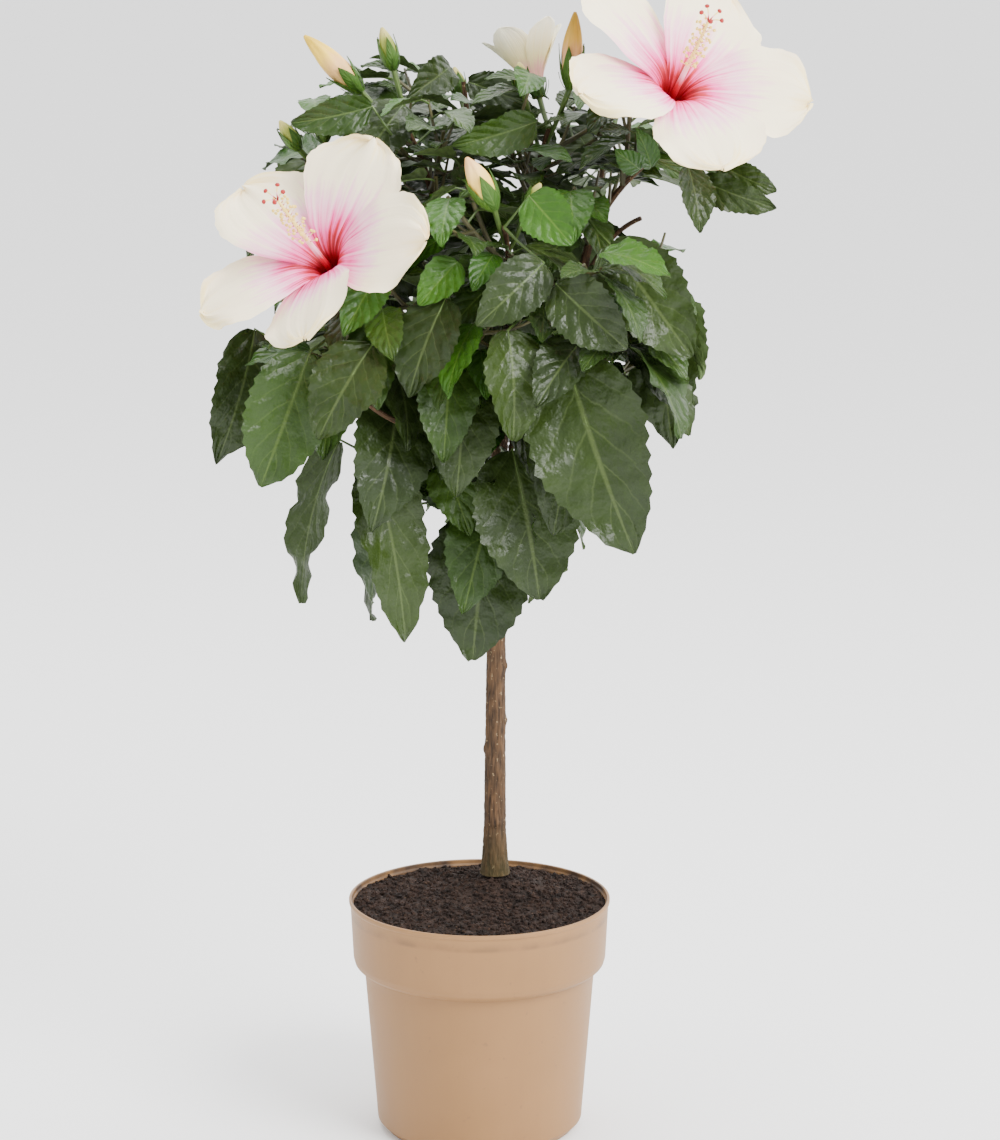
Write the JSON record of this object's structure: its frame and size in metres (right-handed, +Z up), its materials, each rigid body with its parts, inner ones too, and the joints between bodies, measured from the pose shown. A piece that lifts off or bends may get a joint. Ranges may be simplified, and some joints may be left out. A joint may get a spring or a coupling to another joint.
{
  "type": "potted hibiscus standard",
  "caption": "Young hibiscus grown as a standard: a bare slim stem under a round leafy crown with open cream flowers and buds, rooted in soil in a plain tapered nursery pot.",
  "frame": {"origin": "middle of the pot's flat underside, which stands on the ground", "axes": "+Z up along the stem, +X to the right and -Y towards the viewer of the front, where the two open flowers face"},
  "size_m": [0.373, 0.3466, 0.7454],
  "materials": {
    "pot": "beige moulded plastic with a soft sheen, smooth outside",
    "soil": "dark moist peat, crumbly and dull",
    "bark": "thin fissured brown bark with pale leaf scars",
    "leaf": "glossy dark green leaves with paler veins, paler and duller below",
    "petal": "thin cream petals, flushed pink towards a deep red throat"
  },
  "bodies": {
    "root": {"pot": "pot", "soil": "soil", "trunk": "bark", "bough_left": "bark", "bough_front_left": "bark", "bough_upper_left": "bark", "bough_crown": "bark", "bough_right": "bark", "bough_front": "bark", "bough_front_right": "bark", "bough_top": "bark", "bough_back_left": "bark", "bough_back_right": "bark", "bough_back": "bark", "bough_side_left": "bark", "bough_side_right": "bark", "foliage_left": "leaf", "foliage_front": "leaf", "foliage_front_right": "leaf", "foliage_right": "leaf", "foliage_top": "leaf", "foliage_upper_left": "leaf", "foliage_crown": "leaf", "foliage_front_left": "leaf", "foliage_skirt_front": "leaf", "foliage_skirt_left": "leaf", "foliage_skirt_right": "leaf", "foliage_side_left": "leaf", "foliage_side_right": "leaf", "foliage_back_left": "leaf", "foliage_back_right": "leaf", "foliage_back": "leaf", "foliage_skirt_back": "leaf", "flower_left": "petal", "flower_right": "petal", "flower_crown": "petal"}
  },
  "joints": []
}
